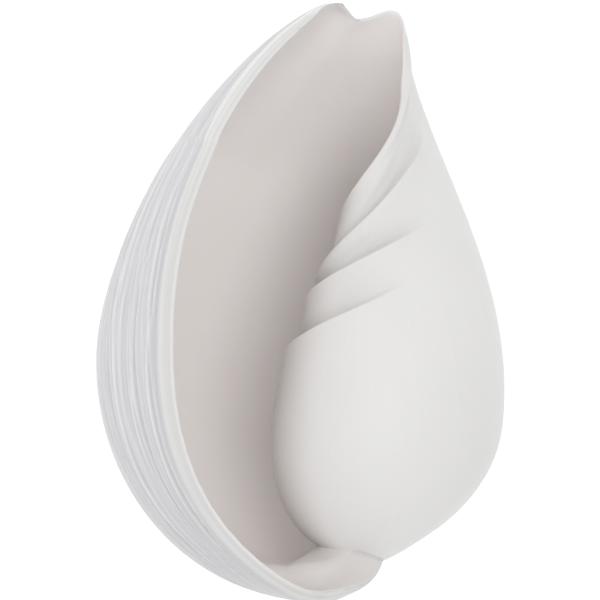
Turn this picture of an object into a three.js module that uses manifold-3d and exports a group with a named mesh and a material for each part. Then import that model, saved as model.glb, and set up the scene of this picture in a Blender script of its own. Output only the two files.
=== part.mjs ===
// A white baler shell: one right-handed spiral wall that opens into a wide mouth.
// Millimetres. The shell is grown about the Y axis, its mouth towards +Z, and then laid on its back.
import * as THREE from 'three';
import { LoftGeometry } from 'three/addons/geometries/LoftGeometry.js';
import { mergeVertices } from 'three/addons/utils/BufferGeometryUtils.js';
import Module from 'manifold-3d';

// Whorl: radius on the right flank and how it grows with the angle of growth
const flankRadius = 55.46;
const radiusGrowth = 0.1994;
const radiusSpread = 0.0034;
const lipCurl = 0.1195;
const lipCurlFrom = 2.808;

// Levels along the coil axis
const frontReach = 209;
const frontSteepness = 1.4268;
const frontPower = 0.1222;
const frontCentre = 0.269;
const widestLevel = 44.56;
const widestGrowth = 0.104;
const backReach = 12;
const backDrop = 20;

// Siphonal notch at the front end, the dip on its right and the drop of the lip's tip on its left
const notchDepth = 7;
const shoulderDip = 7;
const tipDrop = 2;

// Sunken spire: radius of its rim and of the suture, as shares of the whorl radius
const crestShare = 0.18;
const sutureShare = 0.065;
const sutureFlare = 0.02;
const sutureGap = 0.35;

// How far the lip's back end hangs below the whorl before it
const tabDepth = 5;

// Fullness of the whorl's outline behind and before its widest level
const backFullness = 1.1322;
const backFullnessTurn = -0.0303;
const frontFullness = 1.7404;
const frontTaper = 1.4524;
const frontTaperTurn = - 0.21;
const flankFill = 0.29;
const flankFillWidth = 0.9;
const flankSlim = 0.33;

// Swellings of the whorl: angle, width and share of the radius
const swells = [
	{ angle: - Math.PI, width: 0.9, share: 0.08 },
	{ angle: 0, width: 0.7, share: 0.04 },
	{ angle: Math.PI, width: 0.8, share: - 0.012 },
];

// Pillar radius at the front edge
const pillarRadius = 5.6;
const pillarShare = 0.3952;
const canalRadius = 22.5;

// Outer lip: growth angle of its edge in degrees from the front tip to the suture
const lipAngles = [ 220.5, 218, 225, 231.4, 253.3 ];
const lipEnd = 326;
const lipTipRound = 45;

// Wall
const lipWall = 4.4;
const lipThickening = 0.15;
const edgeThinning = 0.65;
const gutterFill = 8.5;
const firstAngle = -600;

// Folds on the pillar: place along the front part, fade angle, height, width behind the crest
const folds = [
	{ place: 0.445, drift: 0.0009, from: - 95, fade: - 54, height: 4.8, width: 0.23 },
	{ place: 0.625, drift: 0, from: - 95, fade: - 24, height: 4.4, width: 0.11 },
	{ place: 0.797, drift: 0.0007, from: - 85, fade: 14, height: 3.8, width: 0.1 },
];
const foldFront = 0.009;
const foldFadeRange = 60;
const grooveDelay = 35;

// Rounded edge of the pillar's front end
const edgeBead = { place: 0.972, width: 0.026, height: 1.6 };

// Stations across the wall: suture to rim, rim to widest level, and from there to the front edge
const crestStation = 0.12;
const widestStation = 0.42;
const spireStations = [ 0, 0.02, 0.04, 0.06, 0.08, 0.1 ];
const backStations = [ 0.12, 0.15, 0.19, 0.235, 0.28, 0.33, 0.375 ];
const frontStations = [
	0, 0.1, 0.2, 0.3, 0.37, 0.41, 0.432, 0.445, 0.457, 0.485, 0.54, 0.59, 0.612, 0.625,
	0.637, 0.665, 0.72, 0.762, 0.784, 0.797, 0.809, 0.84, 0.89, 0.935, 0.97, 0.985, 0.995, 1,
];

// Rest pose: the way down as the shell lies on its back, its heading in degrees and its worn flat
const restDown = new THREE.Vector3( - 0.542, 0.197, - 0.817 ).normalize();
const restHeading = 0;
const flatDepth = 1.5;

const turn = Math.PI * 2;

function smooth( from, to, value ) {

	return THREE.MathUtils.smoothstep( value, from, to );

}

function bell( value, centre, width ) {

	return Math.exp( - Math.pow( ( value - centre ) / width, 2 ) );

}

function spiralRadius( angle ) {

	return flankRadius * Math.exp( radiusGrowth * angle + radiusSpread * angle * angle );

}

// The last quarter curls in towards the lip
function whorlRadius( angle ) {

	const past = Math.max( angle - lipCurlFrom, 0 );
	const swell = swells.reduce( ( sum, one ) => sum + one.share * bell( angle, one.angle, one.width ), 1 );
	return spiralRadius( angle ) * swell * Math.exp( - lipCurl * past * past );

}

function frontLevel( angle ) {

	const rise = 1 + Math.exp( - frontSteepness * ( angle - frontCentre ) );
	const notch = notchDepth * bell( angle, 2.5, angle < 2.5 ? 0.5 : 0.28 ) + tipDrop * smooth( 2.3, 3, angle );
	return frontReach * Math.pow( rise, - frontPower ) - notch - shoulderDip * bell( angle, 0.1, 0.75 );

}

function middleLevel( angle ) {

	return widestLevel * Math.exp( widestGrowth * angle );

}

function backLevel( angle ) {

	const early = Math.min( 1, spiralRadius( angle ) / spiralRadius( - Math.PI ) );
	return - backReach * early - backDrop * smooth( - 0.5, 3.3, angle );

}

function edgeRadius( angle ) {

	const spiral = spiralRadius( angle );
	const inner = pillarRadius * Math.min( 1, spiral / flankRadius );
	return inner + pillarShare * spiral * smooth( 0, Math.PI, - angle ) + canalRadius * smooth( 0.6, 3.9, angle );

}

function sutureRadius( angle ) {

	return ( sutureShare + sutureFlare * smooth( 4.5, 5.8, angle ) ) * spiralRadius( angle );

}

function tabDrop( angle ) {

	return tabDepth * smooth( 4.9, 5.7, angle );

}

function backPower( angle ) {

	const slim = flankSlim * bell( angle, 0.1, 1.2 );
	return THREE.MathUtils.clamp( backFullness + backFullnessTurn * angle + slim, 0.8, 1.5 );

}

function wallThickness( angle ) {

	return lipWall * Math.min( 1, Math.pow( spiralRadius( angle ) / 130, 0.35 ) );

}

// Level of the whorl's back slope at a given radius
function slopeLevel( angle, radius ) {

	const crest = crestShare * spiralRadius( angle );
	const share = THREE.MathUtils.clamp( ( radius - crest ) / ( whorlRadius( angle ) - crest ), 0, 1 );
	const cosine = Math.pow( share, 1 / backPower( angle ) );
	return middleLevel( angle ) - ( middleLevel( angle ) - backLevel( angle ) ) * Math.sqrt( 1 - cosine * cosine );

}

// Each fold wanders along the wall with the angle, and the stations follow its crest
function foldDrift( fold, angle ) {

	const degrees = THREE.MathUtils.clamp( THREE.MathUtils.radToDeg( angle ), - 190, 0 );
	return fold.drift * ( degrees - fold.from );

}

function foldShift( angle, along ) {

	const shifts = folds.map( ( fold ) => foldDrift( fold, angle ) * bell( along, fold.place, 0.09 ) );
	return THREE.MathUtils.clamp( along + shifts[ 0 ] + shifts[ 1 ] + shifts[ 2 ], 0, 1 );

}

// Radius and level of the wall at a growth angle and station, moved inwards by inset
function wallPoint( angle, station, inset ) {

	const middle = middleLevel( angle );
	const back = backLevel( angle ) + inset;
	const crest = crestShare * spiralRadius( angle ) + 0.6 * inset;
	const wide = whorlRadius( angle ) - inset;

	if ( station < crestStation ) {

		const bend = ( 1 - station / crestStation ) * Math.PI / 2;
		const suture = sutureRadius( angle ) + 0.6 * inset;
		const seat = slopeLevel( angle - turn, suture ) - sutureGap - tabDrop( angle );
		return {
			radius: crest - ( crest - suture ) * Math.sin( bend ),
			level: back + ( seat - back ) * Math.pow( 1 - Math.cos( bend ), 0.6 + 0.35 * smooth( 3.5, 4.8, angle ) ),
			along: 0,
		};

	}

	if ( station < widestStation ) {

		const bend = ( widestStation - station ) / ( widestStation - crestStation ) * Math.PI / 2;
		return {
			radius: crest + ( wide - crest ) * Math.pow( Math.max( Math.cos( bend ), 0 ), backPower( angle ) ),
			level: middle - ( middle - back ) * Math.sin( bend ),
			along: 0,
		};

	}

	const share = ( station - widestStation ) / ( 1 - widestStation );
	const along = foldShift( angle, 1 - Math.pow( Math.max( 1 - share, 0 ), 1.35 ) );
	const taper = frontTaper + frontTaperTurn * angle - flankFill * bell( angle, 0, flankFillWidth );
	const power = THREE.MathUtils.clamp( taper, 0.5, 1.8 );
	const thinned = inset * ( 1 - edgeThinning * smooth( 0.88, 1, along ) );
	const edge = Math.max( edgeRadius( angle ) - thinned, 0.8 );
	const flank = whorlRadius( angle ) - thinned;
	return {
		radius: edge + ( flank - edge ) * Math.pow( Math.max( 1 - Math.pow( along, frontFullness ), 0 ), power ),
		level: middle + ( frontLevel( angle ) - middle ) * along,
		along: along,
	};

}

// Slanted folds: a gentle slope behind each crest, a steep one and a groove before it
function foldHeight( angle, along ) {

	const degrees = THREE.MathUtils.radToDeg( angle );
	let height = 0;

	for ( const fold of folds ) {

		const off = along - fold.place - foldDrift( fold, angle );
		const behind = 0.6 * bell( off, 0, fold.width ) + 0.4 * Math.exp( Math.min( off, 0 ) / 0.035 );
		const side = off > 0 ? bell( off, 0, foldFront ) : behind;
		const groove = 0.55 * bell( off, 0.045, 0.038 );
		height += fold.height * side * smooth( 0, foldFadeRange, fold.fade - degrees );
		height -= fold.height * groove * smooth( 0, foldFadeRange, fold.fade - grooveDelay - degrees );

	}

	const bead = edgeBead.height * bell( along, edgeBead.place, edgeBead.width );
	height += bead * smooth( - 120, - 40, degrees ) * ( 1 - smooth( 60, 120, degrees ) );
	return height * Math.exp( 0.1 * ( angle + 1.5 ) );

}

// Growth angle of the lip's edge across the wall, a smooth curve through the five given angles
const lipStations = [ crestStation, ( crestStation + widestStation ) / 2, widestStation, 0.75, 1 ];
const lipCurve = new THREE.CubicInterpolant( lipStations, lipAngles.toReversed(), 1, [ 0 ] );

function lipAngle( station ) {

	const share = Math.max( 1 - station / crestStation, 0 );
	const base = lipCurve.evaluate( Math.max( station, crestStation ) )[ 0 ];
	return base + ( lipEnd - base ) * ( 1 - Math.pow( 1 - share, 1.4 ) );

}

// The lip's front corner is rounded off, and earlier growth lines less and less so
function tipRetreat( growth, station ) {

	const tip = Math.max( station - 0.92, 0 ) / 0.08;
	return lipTipRound * tip * tip * smooth( - 130, 0, growth );

}

// Shell laid down inside the gutter, thickest behind the lip
function gutterLevel( angle, growth, station ) {

	return gutterFill * bell( station, crestStation, 0.11 ) * smooth( 1, 3, angle ) * smooth( 3, 55, - growth );

}

function stationAt( along ) {

	return widestStation + ( 1 - widestStation ) * ( 1 - Math.pow( 1 - along, 1 / 1.35 ) );

}

const stations = [ ...spireStations, ...backStations, ...frontStations.map( stationAt ) ];

// One point of the wall: depth 0 is the outer face and 1 the inner face
function shellPoint( growth, station, depth ) {

	const stretch = 1 + 2 * ( 1 - smooth( 0.06, 0.24, station ) ) * bell( growth, 0, 25 );
	const degrees = growth * stretch + lipAngle( station ) - tipRetreat( growth, station );
	const angle = THREE.MathUtils.degToRad( degrees );
	const point = wallPoint( angle, station, depth * wallThickness( angle ) );
	const fold = Math.max( 1 - depth, 0 ) * ( point.along > 0 ? foldHeight( angle, point.along ) : 0 );
	const radius = point.radius + fold;
	const level = point.level + depth * gutterLevel( angle, growth, station );
	return new THREE.Vector3( radius * Math.cos( angle ), level, - radius * Math.sin( angle ) );

}

// A growth line of the shell as a closed ring: inner face forwards, outer face back
function growthRing( growth, outerDepth, innerDepth ) {

	const outer = stations.map( ( station ) => shellPoint( growth, station, outerDepth ) );
	const inner = stations.map( ( station ) => shellPoint( growth, station, innerDepth ) );
	return [ ...inner, ...outer.reverse() ];

}

// The inner face thickens towards the lip
function innerFace( growth ) {

	return 1 + lipThickening * smooth( - 14, - 3, growth );

}

const rings = [ growthRing( firstAngle - 8, 0.5, 0.5 ) ];
const stretches = [ [ firstAngle, - 430, 8 ], [ - 430, - 250, 19 ], [ - 250, - 60, 15 ], [ - 60, - 2.8, 8 ] ];

for ( const [ from, to, count ] of stretches ) {

	for ( let step = 0; step < count; step ++ ) {

		const growth = THREE.MathUtils.lerp( from, to, step / count );
		rings.push( growthRing( growth, 0, innerFace( growth ) ) );

	}

}

// Rounded rim of the lip
for ( const turned of [ 0, 0.4, 0.7, 1 ] ) {

	const bend = turned * Math.PI / 2;
	const inner = innerFace( 0 ) - lipThickening * Math.pow( turned, 5 );
	rings.push( growthRing( - 2.8 * ( 1 - Math.sin( bend ) ), 1 - Math.cos( bend ), inner ) );

}

const wall = new LoftGeometry( rings, { closed: true, capStart: false, capEnd: false } );

// Bead of shell that seals the suture
const beadRings = [];
const beadSides = 6;
const beadSteps = 34;

for ( let step = 0; step <= beadSteps; step ++ ) {

	const degrees = THREE.MathUtils.lerp( firstAngle + lipEnd - 4, lipEnd - 2.2, step / beadSteps );
	const angle = THREE.MathUtils.degToRad( degrees );
	const thickness = wallThickness( angle );
	const centreRadius = sutureRadius( angle ) + 0.3 * thickness;
	const drop = tabDrop( angle );
	const centreLevel = slopeLevel( angle - turn, centreRadius ) - 0.45 * drop;
	const ring = [];

	for ( let side = 0; side < beadSides; side ++ ) {

		const around = - side / beadSides * turn;
		const radius = centreRadius + 0.7 * thickness * Math.cos( around );
		const level = centreLevel + ( 0.6 * thickness + 0.5 * drop ) * Math.sin( around );
		ring.push( new THREE.Vector3( radius * Math.cos( angle ), level, - radius * Math.sin( angle ) ) );

	}

	beadRings.push( ring );

}

const bead = new LoftGeometry( beadRings, { closed: true, capStart: true, capEnd: true } );

// Pillar round the axis, with the smooth first chamber as its rounded end
const pillarOutline = [
	[ 0, - 11 ], [ 2.8, - 10.2 ], [ 5.2, - 8 ], [ 7, - 4 ], [ 7.8, 2 ], [ 7.6, 10 ], [ 7, 20 ], [ 6, 40 ],
	[ 6.5, 66 ], [ 9, 88 ], [ 11, 104 ], [ 11, 114 ], [ 9, 126 ], [ 5, 138 ], [ 1.6, 147 ], [ 0, 149 ],
];
const pillarPoints = pillarOutline.map( ( [ radius, level ] ) => new THREE.Vector2( radius, level ) );
const pillar = new THREE.LatheGeometry( pillarPoints, 14 );

const wasm = await Module();
wasm.setup();

// A closed surface as a solid: coincident points are welded and collapsed faces dropped
function toSolid( surface ) {

	const bare = new THREE.BufferGeometry();
	bare.setAttribute( 'position', surface.getAttribute( 'position' ) );
	bare.setIndex( surface.getIndex() );
	const welded = mergeVertices( bare, 1e-3 );
	const corners = welded.getIndex().array;
	const faces = [];

	for ( let first = 0; first < corners.length; first += 3 ) {

		const face = [ corners[ first ], corners[ first + 1 ], corners[ first + 2 ] ];

		if ( new Set( face ).size === 3 ) {

			faces.push( ...face );

		}

	}

	const source = {
		numProp: 3,
		vertProperties: new Float32Array( welded.getAttribute( 'position' ).array ),
		triVerts: new Uint32Array( faces ),
	};
	return new wasm.Manifold( new wasm.Mesh( source ) );

}

function toGeometry( solid ) {

	const mesh = solid.getMesh();
	const geometry = new THREE.BufferGeometry();
	geometry.setAttribute( 'position', new THREE.BufferAttribute( new Float32Array( mesh.vertProperties ), 3 ) );
	geometry.setIndex( new THREE.BufferAttribute( new Uint32Array( mesh.triVerts ), 1 ) );
	return geometry;

}

const solids = [ wall, bead, pillar ].map( toSolid );
const joined = solids[ 0 ].add( solids[ 1 ] ).add( solids[ 2 ] ).simplify( 0.02 );
const body = joined.decompose().sort( ( one, other ) => other.volume() - one.volume() )[ 0 ];

// Lie on the back, long way along Y, with a small worn flat underneath
const heading = new THREE.Matrix4().makeRotationZ( THREE.MathUtils.degToRad( restHeading ) );
const settle = new THREE.Quaternion().setFromUnitVectors( restDown, new THREE.Vector3( 0, 0, - 1 ) );
const lie = heading.multiply( new THREE.Matrix4().makeRotationFromQuaternion( settle ) );
const lying = body.transform( lie.toArray() );
const low = lying.boundingBox().min[ 2 ] + flatDepth;
const worn = lying.trimByPlane( [ 0, 0, 1 ], low );
const box = worn.boundingBox();

const material = new THREE.MeshStandardMaterial( { color: 0xeceae6, roughness: 0.5, metalness: 0 } );
const shell = new THREE.Mesh( toGeometry( worn ), material );
shell.name = 'shell';
shell.position.set( - ( box.min[ 0 ] + box.max[ 0 ] ) / 2, - ( box.min[ 1 ] + box.max[ 1 ] ) / 2, - low );

const group = new THREE.Group();
group.name = 'conch_shell';
group.add( shell );

export default group;
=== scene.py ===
# White baler shell lying on its back, mouth up, on a pale floor under a soft light tent
import math
import bmesh
import bpy
from mathutils import Matrix, Vector


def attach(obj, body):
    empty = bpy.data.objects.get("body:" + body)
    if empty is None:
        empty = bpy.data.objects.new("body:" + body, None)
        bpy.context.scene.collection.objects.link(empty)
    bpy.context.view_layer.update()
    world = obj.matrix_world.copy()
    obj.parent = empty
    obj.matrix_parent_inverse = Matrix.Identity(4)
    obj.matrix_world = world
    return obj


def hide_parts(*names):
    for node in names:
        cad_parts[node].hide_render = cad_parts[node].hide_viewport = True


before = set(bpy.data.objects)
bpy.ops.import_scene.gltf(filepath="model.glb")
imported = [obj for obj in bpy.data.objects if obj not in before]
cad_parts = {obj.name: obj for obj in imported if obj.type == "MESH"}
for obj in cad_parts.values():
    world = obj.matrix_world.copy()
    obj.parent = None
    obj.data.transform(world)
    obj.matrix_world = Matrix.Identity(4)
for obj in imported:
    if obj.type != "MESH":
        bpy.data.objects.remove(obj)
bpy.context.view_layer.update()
print("frame loaded")

# the spiral itself: millimetres and radians, coil axis along Y, mouth towards +Z
# angle 0 is the swollen flank on the right, and growth runs from there round to the lip
spiral = {
    "flankRadius": 55.46, "radiusGrowth": 0.1994, "radiusSpread": 0.0034,
    "lipCurl": 0.1195, "lipCurlFrom": 2.808,
    "frontReach": 209.0, "frontSteep": 1.4268, "frontPower": 0.1222, "frontCentre": 0.269,
    "notchDepth": 7.0, "notchAngle": 2.5, "notchBefore": 0.5, "notchAfter": 0.28,
    "shoulderDip": 7.0, "tipDrop": 2.0,
    "widestLevel": 44.56, "widestGrowth": 0.104,
    "backReach": 12.0, "backDrop": 20.0, "callus": 5.0, "tabHollow": 1.7,
    "crestShare": 0.18, "sutureShare": 0.065, "sutureFlare": 0.02, "sutureBite": 1.2,
    "backFullness": 1.1322, "backFullnessTurn": -0.0303,
    "frontFullness": 1.7404, "frontTaper": 1.4524, "frontTaperTurn": -0.21, "frontEase": 1.35,
    "flankFill": 0.04, "flankFullness": 0.3, "flankFillWidth": 0.9, "flankSlim": 0.33,
    "pillarRadius": 5.6, "pillarShare": 0.3952, "canalRadius": 22.5, "tipPinch": 2.0,
    "lipWall": 4.4, "fullWallRadius": 130, "lipThickening": 0.15, "edgeThin": 0.65,
    "gutterFill": 8.5, "gutterWidth": 0.11,
}

# places where the whorl swells: growth angle, width, share
swells = ((-math.pi, 0.9, 0.08), (0.0, 0.7, 0.04), (math.pi, 0.8, -0.012))

# edge of the lip: growth angle in degrees at stations from the spire rim to the front tip
lip = {
    "stations": (0.12, 0.27, 0.42, 0.75, 1.0),
    "angles": (253.3, 231.4, 225.0, 218.0, 220.5),
    "end": 326.0, "endEase": 1.55,
    "tipFrom": 0.92, "tipWidth": 0.08, "tipRound": 45.0,
}

# slanted folds on the pillar: place along the wall, degrees for drift and fade, height in mm
folds = [
    {"place": 0.445, "drift": 0.0009, "start": -95, "fade": -54, "height": 4.8, "width": 0.23},
    {"place": 0.625, "drift": 0.0, "start": -95, "fade": -24, "height": 4.4, "width": 0.11},
    {"place": 0.797, "drift": 0.0007, "start": -85, "fade": 14, "height": 3.8, "width": 0.10},
]
# what the folds share: a steep front, a back both broad and sharp, a groove and its shade
foldForm = {
    "front": 0.009, "broad": 0.6, "sharp": 0.4, "sharpReach": 0.035, "fadeOver": 60,
    "groove": 0.55, "grooveLag": 35, "grooveOff": 0.045, "grooveWidth": 0.038, "shadeReach": 0.06,
}
# rounded edge of the pillar's front end
edgeBead = {"place": 0.972, "width": 0.026, "height": 1.6}

# how the shell lies: the way down in its own growth frame, and where that frame's origin ends up
lie = {"down": (-0.542, 0.197, -0.817), "place": (19.3741, -83.9484, 97.8677)}

# stations across the wall: 0 at the suture, then the crest of the back, the widest level, 1 at the front
crestStation, widestStation = 0.12, 0.42
wholeTurn = math.tau
millimetre = 0.001


def smooth(low, high, value):
    t = min(max((value - low) / (high - low), 0.0), 1.0)
    return t * t * (3 - 2 * t)


def bell(value, centre, width):
    return math.exp(-((value - centre) / width) ** 2)


def clamp(value, low, high):
    return min(max(value, low), high)


def spiralRadius(a):
    return spiral["flankRadius"] * math.exp(spiral["radiusGrowth"] * a + spiral["radiusSpread"] * a * a)


def whorlRadius(a):
    past = max(a - spiral["lipCurlFrom"], 0.0)
    swell = 1 + sum(share * bell(a, centre, width) for centre, width, share in swells)
    return spiralRadius(a) * swell * math.exp(-spiral["lipCurl"] * past * past)


def frontLevel(a):
    rise = 1 + math.exp(-spiral["frontSteep"] * (a - spiral["frontCentre"]))
    width = spiral["notchBefore"] if a < spiral["notchAngle"] else spiral["notchAfter"]
    notch = spiral["notchDepth"] * bell(a, spiral["notchAngle"], width)
    notch += spiral["tipDrop"] * smooth(2.3, 3.0, a)
    dip = spiral["shoulderDip"] * bell(a, 0.1, 0.75)
    return spiral["frontReach"] * rise ** -spiral["frontPower"] - notch - dip


def middleLevel(a):
    return spiral["widestLevel"] * math.exp(spiral["widestGrowth"] * a)


def backLevel(a):
    early = min(1.0, spiralRadius(a) / spiralRadius(-math.pi))
    swollen = spiral["callus"] * bell(a, -0.55, 0.42)  # under the lip's back end
    drop = spiral["backDrop"] * smooth(-0.5, 3.3, a) - spiral["tabHollow"] * bell(a, 4.9, 0.32)
    return -spiral["backReach"] * early - drop - swollen


def edgeRadius(a):
    r = spiralRadius(a)
    inner = spiral["pillarRadius"] * min(1.0, r / spiral["flankRadius"])
    canal = spiral["canalRadius"] * smooth(0.6, 3.9, a) - spiral["tipPinch"] * smooth(2.8, 3.3, a)
    return inner + spiral["pillarShare"] * r * smooth(0, math.pi, -a) + canal


def sutureRadius(a):
    return (spiral["sutureShare"] + spiral["sutureFlare"] * smooth(4.5, 5.8, a)) * spiralRadius(a)


def backPower(a):
    slim = spiral["flankSlim"] * bell(a, 0.1, 1.2)
    return clamp(spiral["backFullness"] + spiral["backFullnessTurn"] * a + slim, 0.8, 1.5)


def wallThickness(a):
    return spiral["lipWall"] * min(1.0, (spiralRadius(a) / spiral["fullWallRadius"]) ** 0.35)


# level of a whorl's back slope at a radius, where the next whorl sits on it
def slopeLevel(a, radius):
    crest = spiral["crestShare"] * spiralRadius(a)
    share = clamp((radius - crest) / (whorlRadius(a) - crest), 0.0, 1.0)
    c = share ** (1 / backPower(a))
    return middleLevel(a) - (middleLevel(a) - backLevel(a)) * math.sqrt(max(1 - c * c, 0.0))


# how far each fold wanders along the wall with the angle, so that stations follow the crests
def foldDrift(fold, a):
    return fold["drift"] * (clamp(math.degrees(a), -190, 0) - fold["start"])


def foldShift(a, along):
    shift = sum(foldDrift(fold, a) * bell(along, fold["place"], 0.09) for fold in folds)
    return clamp(along + shift, 0.0, 1.0)


# place along the front part of the wall: 0 at the widest level, 1 at the front edge
def alongAt(a, station):
    share = max(station - widestStation, 0.0) / (1 - widestStation)
    return foldShift(a, 1 - max(1 - share, 0.0) ** spiral["frontEase"])


# radius, level and place along the front part of the wall, moved in by inset
def wallPoint(a, station, inset):
    r = spiralRadius(a)
    middle = middleLevel(a)
    back = backLevel(a) + inset
    crest = spiral["crestShare"] * r + 0.6 * inset
    wide = whorlRadius(a) - inset
    if station < crestStation:
        bend = (1 - station / crestStation) * math.pi / 2
        suture = sutureRadius(a) + 0.6 * inset
        seat = slopeLevel(a - wholeTurn, suture) + spiral["sutureBite"] * min(1.0, r / 60)
        ease = 0.6 + 0.35 * smooth(3.5, 4.8, a)
        return (crest - (crest - suture) * math.sin(bend),
                back + (seat - back) * (1 - math.cos(bend)) ** ease, 0.0)
    if station < widestStation:
        bend = (widestStation - station) / (widestStation - crestStation) * math.pi / 2
        return (crest + (wide - crest) * max(math.cos(bend), 0.0) ** backPower(a),
                middle - (middle - back) * math.sin(bend), 0.0)
    along = alongAt(a, station)
    flank = bell(a, 0, spiral["flankFillWidth"])
    taper = spiral["frontTaper"] + spiral["frontTaperTurn"] * a
    taper -= spiral["flankFill"] * flank
    fullness = spiral["frontFullness"] + spiral["flankFullness"] * flank
    inset *= 1 - spiral["edgeThin"] * smooth(0.88, 1.0, along)
    wide = whorlRadius(a) - inset
    edge = max(edgeRadius(a) - inset, 0.8)
    fall = max(1 - along ** fullness, 0.0) ** clamp(taper, 0.5, 1.8)
    return edge + (wide - edge) * fall, middle + (frontLevel(a) - middle) * along, along


def foldHeight(a, along):
    degrees = math.degrees(a)
    total = 0.0
    for fold in folds:
        off = along - fold["place"] - foldDrift(fold, a)
        side = bell(off, 0, foldForm["front"])
        if off <= 0:
            side = foldForm["broad"] * bell(off, 0, fold["width"])
            side += foldForm["sharp"] * math.exp(off / foldForm["sharpReach"])
        left = fold["fade"] - degrees  # degrees to go until the fold has run out
        total += fold["height"] * smooth(0, foldForm["fadeOver"], left) * side
        left = fold["fade"] - foldForm["grooveLag"] - degrees  # the groove runs out sooner
        groove = foldForm["groove"] * fold["height"] * smooth(0, foldForm["fadeOver"], left)
        total -= groove * bell(off, foldForm["grooveOff"], foldForm["grooveWidth"])
    bead = edgeBead["height"] * bell(along - edgeBead["place"], 0, edgeBead["width"])
    total += bead * smooth(-120, -40, degrees) * (1 - smooth(60, 120, degrees))
    return total * math.exp(0.1 * (a + 1.5))


# shade that gathers in front of each fold's crest
def foldShade(a, along):
    total = 0.0
    for fold in folds:
        off = along - fold["place"] - foldDrift(fold, a)
        if off > 0:
            left = fold["fade"] - math.degrees(a)
            total += smooth(0, foldForm["fadeOver"], left) * math.exp(-off / foldForm["shadeReach"])
    return min(total, 1.0)


# smooth curve through the lip's given angles
def lipAngle(station):
    xs, ys = lip["stations"], lip["angles"]
    last = len(xs) - 1
    x = clamp(station, xs[0], xs[last])
    i = max(k for k in range(last) if k == 0 or x >= xs[k])
    slopes = []
    for k in (i, i + 1):
        low, high = max(k - 1, 0), min(k + 1, last)
        slopes.append((ys[high] - ys[low]) / (xs[high] - xs[low]))
    width = xs[i + 1] - xs[i]
    t = (x - xs[i]) / width
    base = (ys[i] * (1 + 2 * t) * (1 - t) ** 2 + slopes[0] * width * t * (1 - t) ** 2
            + ys[i + 1] * t * t * (3 - 2 * t) - slopes[1] * width * t * t * (1 - t))
    share = max(1 - station / crestStation, 0.0)
    return base + (lip["end"] - base) * (1 - (1 - share) ** lip["endEase"])


# the lip's front corner is rounded off, and earlier growth lines less and less so
def tipRetreat(growth, station):
    tip = max(station - lip["tipFrom"], 0.0) / lip["tipWidth"]
    return lip["tipRound"] * tip * tip * smooth(-130, 0, growth)


# growth ridges: uneven narrow welts parallel to the lip, strongest on the last stretch
ridges = {"first": -3.6, "last": -120, "pitch": 1.5, "count": 72, "height": 1.1, "reach": 2.4}


def scatter(k, seed):
    value = math.sin(k * 12.9898 + seed) * 43758.5453
    return value - math.floor(value)


ridgeList = []
for k in range(ridges["count"]):
    spot = ridges["first"] - ridges["pitch"] * (k + 0.8 * (scatter(k, 4.1) - 0.5))
    ridgeList.append((spot, 0.2 + scatter(k, 1.7), 0.27 + 0.25 * scatter(k, 2.9), k))


def ridgeHeight(growth, station):
    if growth < ridges["last"] or growth > -2.2:
        return 0.0
    near = 0.0
    for spot, height, width, k in ridgeList:
        if abs(growth - spot) < ridges["reach"]:
            sway = 0.3 * math.sin(27 * station + 1.7 * k) + 0.16 * math.sin(71 * station + 2.3 * k)
            near += height * bell(growth, spot + sway, width)
    fade = (0.25 + 0.75 * smooth(-50, -12, growth)) * smooth(ridges["last"], -90, growth)
    across = smooth(0.10, 0.22, station) * (1 - 0.75 * smooth(0.55, 0.9, station))
    return ridges["height"] * near * fade * across


# shell laid down inside the gutter, thickest behind the lip
def gutterFill(a, growth, station):
    if abs(station - crestStation) > 0.3:
        return 0.0
    fill = spiral["gutterFill"] * bell(station, crestStation, spiral["gutterWidth"])
    return fill * smooth(1.0, 3.0, a) * smooth(3, 55, -growth)


# angle about the coil axis; growth is in degrees, 0 at the lip's edge and less before it
def growthAngle(growth, station):
    stretch = 1 + 2.0 * (1 - smooth(0.06, 0.24, station)) * bell(growth, 0, 25)
    return math.radians(growth * stretch + lipAngle(station) - tipRetreat(growth, station))


# one point of the wall in the growth frame; depth 0 outer face, 1 inner face
def shellPoint(growth, station, depth):
    a = growthAngle(growth, station)
    radius, level, along = wallPoint(a, station, depth * wallThickness(a))
    level += depth * gutterFill(a, growth, station)
    if along > 0:
        radius += max(1 - depth, 0.0) * foldHeight(a, along)
    radius += max(1 - depth, 0.0) * ridgeHeight(growth, station)
    return Vector((radius * math.cos(a), level, -radius * math.sin(a)))


turnDown = Vector(lie["down"]).normalized().rotation_difference(Vector((0, 0, -1))).to_matrix()


# from the growth frame to where the shell lies, in metres
def toRow(point):
    return (turnDown @ point + Vector(lie["place"])) * millimetre


# the wall's mesh: stations on each part of it, growth steps (from, to, step), fine near the lip
wall = {
    "spire": 14, "back": 26, "front": 116, "crowding": 3.5, "crowdSteps": 1000,
    "firstGrowth": -608.0,
    "steps": ((-600, -440, 5.0), (-440, -240, 2.0), (-240, -90, 2.5), (-90, -50, 1.25),
              (-50, -30, 0.38), (-30, -2.8, 0.26)),
    "rimReach": 2.8, "rimRings": 9, "edgeRound": 0.9,
}

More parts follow.
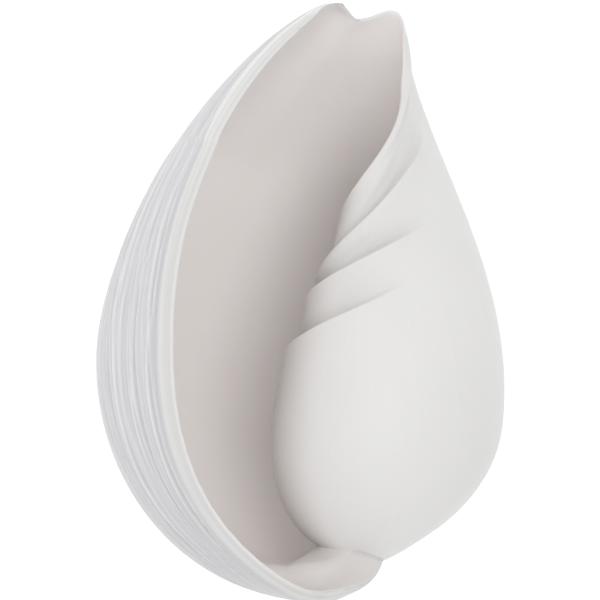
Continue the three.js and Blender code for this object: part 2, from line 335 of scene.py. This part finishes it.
# stations stand close together on the folds and at the front edge
stations = [crestStation * k / wall["spire"] for k in range(wall["spire"])]
stations += [crestStation + (widestStation - crestStation) * k / wall["back"] for k in range(wall["back"])]
crowd = [0.0]
for k in range(wall["crowdSteps"]):
    along = (k + 0.5) / wall["crowdSteps"]
    near = sum(bell(along, fold["place"] + 0.01, 0.03) for fold in folds) + 0.6 * bell(along, 1.0, 0.06)
    crowd.append(crowd[-1] + 1 + wall["crowding"] * near)
for k in range(wall["front"] + 1):
    share = crowd[-1] * k / wall["front"]
    i = min(max(j for j in range(len(crowd)) if crowd[j] <= share), wall["crowdSteps"] - 1)
    along = min((i + (share - crowd[i]) / (crowd[i + 1] - crowd[i])) / wall["crowdSteps"], 1.0)
    stations.append(widestStation + (1 - widestStation) * (1 - (1 - along) ** (1 / spiral["frontEase"])))
stations[-1] = 1.0
innerStations = stations[::2]


def innerFace(growth):
    return 1 + spiral["lipThickening"] * smooth(-14, -3, growth)


# growth lines: growth, depth of the outer face, depth of the inner face
growthLines = []
for low, high, step in wall["steps"]:
    count = round((high - low) / step)
    for k in range(count):
        growth = low + (high - low) * k / count
        growthLines.append((growth, 0.0, innerFace(growth)))
# rounded rim: outer side drawn in a long curve, inner side kept crisp
for k in range(wall["rimRings"]):
    t = k / (wall["rimRings"] - 1)
    growthLines.append((-wall["rimReach"] * (1 - math.sin(t * math.pi / 2)), 1 - math.cos(t * math.pi / 2),
                        innerFace(0) - (innerFace(0) - 1.0) * t ** 5))


# a growth line as a closed ring: along the outer face, round the front edge, back along the inner face
def growthRing(growth, outerDepth, innerDepth):
    outer = [shellPoint(growth, s, outerDepth) for s in stations]
    if outerDepth == innerDepth:
        for k in range(1, len(outer) - 1, 2):
            outer[k] = (outer[k - 1] + outer[k + 1]) / 2  # meets the coarser inner face
    ring = [(s, outerDepth, point) for s, point in zip(stations, outer)]
    for k in range(1, 4):
        depth = outerDepth + (innerDepth - outerDepth) * k / 4
        reach = wall["edgeRound"] * (innerDepth - outerDepth) * math.sin(k / 4 * math.pi)
        reach *= smooth(0, 24, -growth)
        ring.append((1.0, depth, shellPoint(growth, 1.0, depth) + Vector((0, reach, 0))))
    ring += [(s, innerDepth, shellPoint(growth, s, innerDepth)) for s in reversed(innerStations)]
    return ring


bm = bmesh.new()
growthLayer = bm.verts.layers.float.new("growth")
acrossLayer = bm.verts.layers.float.new("across")
depthLayer = bm.verts.layers.float.new("depth")
ridgeLayer = bm.verts.layers.float.new("ridge")  # ridges above 0, the folds' shade below


def place(vert, growth, entry):
    station, depth, point = entry
    vert.co = toRow(point)
    vert[growthLayer] = growth
    vert[acrossLayer] = station
    vert[depthLayer] = depth
    a = growthAngle(growth, station)
    shade = foldShade(a, alongAt(a, station)) if station > widestStation else 0.0
    ridge = ridgeHeight(growth, station) / ridges["height"]
    vert[ridgeLayer] = max(1 - depth, 0.0) * (ridge - shade)


# first growth line, then one extrusion for every step of growth
first = growthRing(wall["firstGrowth"], 0.5, 0.5)
loop = [bm.verts.new() for entry in first]
for vert, entry in zip(loop, first):
    place(vert, wall["firstGrowth"], entry)
edges = [bm.edges.new((loop[k], loop[(k + 1) % len(loop)])) for k in range(len(loop))]
for growth, outerDepth, innerDepth in growthLines:
    made = bmesh.ops.extrude_edge_only(bm, edges=edges)["geom"]
    added = set(v for v in made if isinstance(v, bmesh.types.BMVert))
    following = []
    for vert in loop:
        for edge in vert.link_edges:
            if edge.other_vert(vert) in added:
                following.append(edge.other_vert(vert))
    loop = following
    for vert, entry in zip(loop, growthRing(growth, outerDepth, innerDepth)):
        place(vert, growth, entry)
    edges = [e for e in made if isinstance(e, bmesh.types.BMEdge) and all(v in added for v in e.verts)]
print("wall grown:", len(bm.verts), "points")
bmesh.ops.remove_doubles(bm, verts=bm.verts, dist=1e-6)
bmesh.ops.holes_fill(bm, edges=[e for e in bm.edges if e.is_boundary], sides=4)

# pillar round the axis, its rounded end being the first chamber
pillar = {
    "outline": ((0, -11), (2.8, -10.2), (5.2, -8), (7, -4), (7.8, 2), (7.6, 10), (7, 20), (6, 40),
                (6.5, 66), (9, 88), (11, 104), (11, 114), (9, 126), (5, 138), (1.6, 147), (0, 149)),
    "sides": 40, "growth": -600.0, "across": 0.3, "depth": 0.5,
}
chain = [bm.verts.new(toRow(Vector((r, y, 0)))) for r, y in pillar["outline"]]
spine = [bm.edges.new(pair) for pair in zip(chain, chain[1:])]
axisFoot = toRow(Vector((0, 0, 0)))
bmesh.ops.spin(bm, geom=chain + spine, cent=axisFoot, axis=turnDown @ Vector((0, 1, 0)),
               angle=wholeTurn, steps=pillar["sides"], use_merge=True)
for vert in bm.verts:
    if vert[acrossLayer] == 0.0 and vert[growthLayer] == 0.0:
        vert[growthLayer] = pillar["growth"]
        vert[acrossLayer] = pillar["across"]
        vert[depthLayer] = pillar["depth"]
bmesh.ops.remove_doubles(bm, verts=bm.verts, dist=1e-6)
bmesh.ops.dissolve_degenerate(bm, edges=bm.edges, dist=1e-7)
bmesh.ops.recalc_face_normals(bm, faces=bm.faces)

# worn flat underneath
cut = bmesh.ops.bisect_plane(bm, geom=bm.verts[:] + bm.edges[:] + bm.faces[:], plane_co=(0, 0, 0),
                             plane_no=(0, 0, -1), clear_outer=True)
flatEdge = [e for e in cut["geom_cut"] if isinstance(e, bmesh.types.BMEdge)]
bmesh.ops.edgeloop_fill(bm, edges=flatEdge)
for face in bm.faces:
    face.smooth = True
mesh = bpy.data.meshes.new("shell_wall")
bm.to_mesh(mesh)
bm.free()
shell = bpy.data.objects.new("shell_wall", mesh)
bpy.context.scene.collection.objects.link(shell)
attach(shell, "root")
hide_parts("shell")
print("shell made:", len(mesh.polygons), "faces")


# shader maths: a socket with operators
class Wire:
    def __init__(self, tree, socket):
        self.tree = tree
        self.socket = socket

    def node(self, kind, settings=None, inputs=None, output=0):
        made = self.tree.nodes.new(kind)
        for name, value in (settings or {}).items():
            setattr(made, name, value)
        for name, value in (inputs or {}).items():
            if isinstance(value, Wire):
                self.tree.links.new(value.socket, made.inputs[name])
            else:
                made.inputs[name].default_value = value
        return Wire(self.tree, made.outputs[output])

    def attribute(self, name):
        return self.node("ShaderNodeAttribute", {"attribute_name": name}, output=2)

    def math(self, operation, *values):
        return self.node("ShaderNodeMath", {"operation": operation}, dict(enumerate(values)))

    def __add__(self, other):
        return self.math("ADD", self, other)

    __radd__ = __add__

    def __sub__(self, other):
        return self.math("SUBTRACT", self, other)

    def __rsub__(self, other):
        return self.math("SUBTRACT", other, self)

    def __mul__(self, other):
        return self.math("MULTIPLY", self, other)

    __rmul__ = __mul__

    def __truediv__(self, other):
        return self.math("DIVIDE", self, other)

    def blend(self, share, first, second):
        return self.node("ShaderNodeMix", {"data_type": "RGBA"}, {0: share, 6: first, 7: second}, 2)

    def ramp(self, low, high):
        return self.node("ShaderNodeMapRange", {"interpolation_type": "SMOOTHSTEP"},
                         {"Value": self, "From Min": low, "From Max": high})


# chalky satin shell: cool white outside, warm grey-white inside
finish = {
    "outside": (0.735, 0.732, 0.748, 1), "inside": (0.92, 0.884, 0.87, 1), "deepShade": (0.62, 0.58, 0.562, 1),
    "body": (0.90, 0.893, 0.885, 1), "tuckedShade": (0.47, 0.44, 0.425, 1), "rim": (0.91, 0.905, 0.895, 1),
    "lit": (0.16, 0.154, 0.151, 1), "deepLit": 0.38,
    "lineTone": 0.05, "cloudTone": 0.05, "ridgeLightShade": 0.22, "foldTone": 0.17, "gutterShade": 0.13,
    "grooveShade": 0.08,
    "roughness": 0.46, "specular": 0.35, "bump": 0.25, "bumpDepth": 0.0006,
    "glow": 0.06, "glowReach": (0.004, 0.003, 0.0025),
}


def shellFinish():
    material = bpy.data.materials.new("shell_white")
    material.use_nodes = True
    tree = material.node_tree
    shader = tree.nodes["Principled BSDF"]
    start = Wire(tree, None)
    growth, across = start.attribute("growth"), start.attribute("across")
    depth, ridge = start.attribute("depth"), start.attribute("ridge")
    coords = start.node("ShaderNodeTexCoord", output=3)
    inside = depth.ramp(0.55, 0.95)
    fresh = growth.ramp(-130, -30)  # last stretch of growth beside the lip
    # fine growth lines, uneven along the coil
    drift = start.node("ShaderNodeTexNoise", {}, {"Vector": coords, "Scale": 14.0, "Detail": 3.0})
    linePlace = start.node("ShaderNodeCombineXYZ", {}, {
        "X": growth * 1.6 + drift * 0.6, "Y": across * 3.0})
    lines = start.node("ShaderNodeTexNoise", {"noise_dimensions": "2D"}, {
        "Vector": linePlace, "Scale": 1.0, "Detail": 3.0, "Roughness": 0.55})
    groovePlace = start.node("ShaderNodeCombineXYZ", {}, {
        "X": growth * 1.4 + drift * 0.5, "Y": across * 1.6})
    grooves = start.node("ShaderNodeTexNoise", {"noise_dimensions": "2D"}, {
        "Vector": groovePlace, "Scale": 1.0, "Detail": 1.0}).ramp(0.47, 0.62)
    cloud = start.node("ShaderNodeTexNoise", {}, {
        "Vector": coords, "Scale": 22.0, "Detail": 4.0, "Roughness": 0.5})
    grain = start.node("ShaderNodeTexNoise", {}, {"Vector": coords, "Scale": 900.0, "Detail": 2.0})
    # paler rim along the lip and round the front edge, partly a painted highlight
    edge = (growth / (1 + 3 * across.ramp(0.6, 1.0))).ramp(-2.4, -1.2)
    edge = 1 - (1 - edge) * (1 - 0.5 * inside * across.ramp(0.94, 1.0))
    # painted shade: the whorl before is coloured darker and warmer where it turns into the mouth, and the
    # hollow darker towards its depth
    body = start.blend(growth.ramp(-398, -335), finish["tuckedShade"], finish["body"])
    # the outside of the last stretch is coloured darker and cooler: partly its own greyer tone, partly
    # painted shade on the side turned from the light
    outer = start.blend(fresh, body, finish["outside"])
    # painted shade: the mouth's wall is coloured darker far from the lip and the front edge
    shallow = 1 - (1 - growth.ramp(-165, -80)) * (1 - across.ramp(0.6, 0.88))
    hollow = start.blend(shallow, finish["deepShade"], finish["inside"])
    colour = start.blend(edge, start.blend(inside, outer, hollow), finish["rim"])
    tone = 1.0 + (lines - 0.5) * finish["lineTone"] * (1 - inside * 0.5)
    tone += (cloud - 0.5) * finish["cloudTone"]
    # painted highlight on the crests of the growth ridges, painted shade between them
    tone += (ridge - 0.3) * finish["ridgeLightShade"] * fresh * (1 - inside)
    # painted shade in the gutter along the suture, inside the mouth
    tone -= finish["gutterShade"] * inside * (1 - across.ramp(0.06, 0.17))
    tone += ridge * finish["foldTone"] * (1 - fresh) * (1 - inside)
    # painted shade in fine grooves between the growth lines, outside near the lip
    tone -= grooves * finish["grooveShade"] * growth.ramp(-70, -15) * (1 - inside)
    shade = start.node("ShaderNodeVectorMath", {"operation": "SCALE"}, {0: colour, "Scale": tone})
    tree.links.new(shade.socket, shader.inputs["Base Color"])
    rough = finish["roughness"] + (cloud - 0.5) * 0.12 + (lines - 0.5) * 0.08
    tree.links.new(rough.socket, shader.inputs["Roughness"])
    relief = lines * 0.5 * (1 - inside * 0.7) + grain * 0.06 + cloud * 0.3
    bump = start.node("ShaderNodeBump", {}, {
        "Height": relief, "Strength": finish["bump"], "Distance": finish["bumpDepth"]})
    tree.links.new(bump.socket, shader.inputs["Normal"])
    # faint light on the mouth's wall, strongest nearest the lip
    mouth = inside * growth.ramp(-120, -78) * across.ramp(0.1, 0.3)
    mouth *= (1 - 0.8 * across.ramp(0.55, 0.9)) * (1 - edge)
    gutter = finish["deepLit"] * inside * across.ramp(0.1, 0.2) * (1 - across.ramp(0.2, 0.37))
    mouth += gutter * (1 - growth.ramp(-105, -75))
    lit = start.blend(mouth, (0, 0, 0, 1), finish["lit"])
    tree.links.new(lit.socket, shader.inputs["Emission Color"])
    shader.inputs["Emission Strength"].default_value = 1.0
    shader.inputs["Subsurface Weight"].default_value = finish["glow"]
    shader.inputs["Subsurface Radius"].default_value = finish["glowReach"]
    shader.inputs["Specular IOR Level"].default_value = finish["specular"]
    return material


mesh.materials.append(shellFinish())
print("finish made")

# pale floor and light tent
studio = {
    "floor": (0.93, 0.93, 0.93, 1), "floorSize": 6.0, "floorRoughness": 0.9, "floorGlow": 0.36,
    "white": (1, 1, 1, 1), "sky": 0.70, "key": 4.6, "keySize": 1.2,
}
floorMesh = bpy.data.meshes.new("floor")
bm = bmesh.new()
bmesh.ops.create_grid(bm, x_segments=1, y_segments=1, size=studio["floorSize"])
bm.to_mesh(floorMesh)
bm.free()
floor = bpy.data.objects.new("floor", floorMesh)
bpy.context.scene.collection.objects.link(floor)
floorPaint = bpy.data.materials.new("floor_white")
floorPaint.use_nodes = True
floorInputs = floorPaint.node_tree.nodes["Principled BSDF"].inputs
floorInputs["Base Color"].default_value = studio["floor"]
floorInputs["Roughness"].default_value = studio["floorRoughness"]
floorInputs["Emission Color"].default_value = studio["white"]
floorInputs["Emission Strength"].default_value = studio["floorGlow"]
floorMesh.materials.append(floorPaint)

world = bpy.data.worlds.new("tent")
bpy.context.scene.world = world
world.use_nodes = True
tentInputs = world.node_tree.nodes["Background"].inputs
tentInputs["Color"].default_value = studio["white"]
tentInputs["Strength"].default_value = studio["sky"]

# long lens: the photograph's own axes in the growth frame, millimetres
lean = math.radians(5.57)
view = {
    "right": Vector((math.cos(lean), math.sin(lean), 0)),
    "up": Vector((-math.sin(lean), math.cos(lean), 0)), "back": Vector((0, 0, 1)),
    "centre": (-18.8, 88.8), "distance": 1800.0, "width": 240.0, "sensor": 36,
}


def fromView(x, y, z):
    return toRow(view["right"] * x + view["up"] * y + view["back"] * z)


def addLight(name, spot, target, size, power):
    data = bpy.data.lights.new(name, "AREA")
    data.shape = "DISK"
    data.size = size
    data.energy = power
    lamp = bpy.data.objects.new(name, data)
    lamp.location = spot
    lamp.rotation_euler = (spot - target).to_track_quat("Z", "Y").to_euler()
    bpy.context.scene.collection.objects.link(lamp)


addLight("key", fromView(150, 150, 1600), fromView(-18, 88, 0), studio["keySize"], studio["key"])

camera = bpy.data.cameras.new("camera")
camera.sensor_width = view["sensor"]
camera.lens = view["sensor"] * view["distance"] / view["width"]
camera.clip_end = 20
eye = bpy.data.objects.new("camera", camera)
turn = Matrix((turnDown @ view["right"], turnDown @ view["up"], turnDown @ view["back"])).transposed()
stand = fromView(view["centre"][0], view["centre"][1], view["distance"])
eye.matrix_world = Matrix.Translation(stand) @ turn.to_4x4()
bpy.context.scene.collection.objects.link(eye)
bpy.context.scene.camera = eye
bpy.context.scene.view_settings.view_transform = "Standard"
print("studio set")
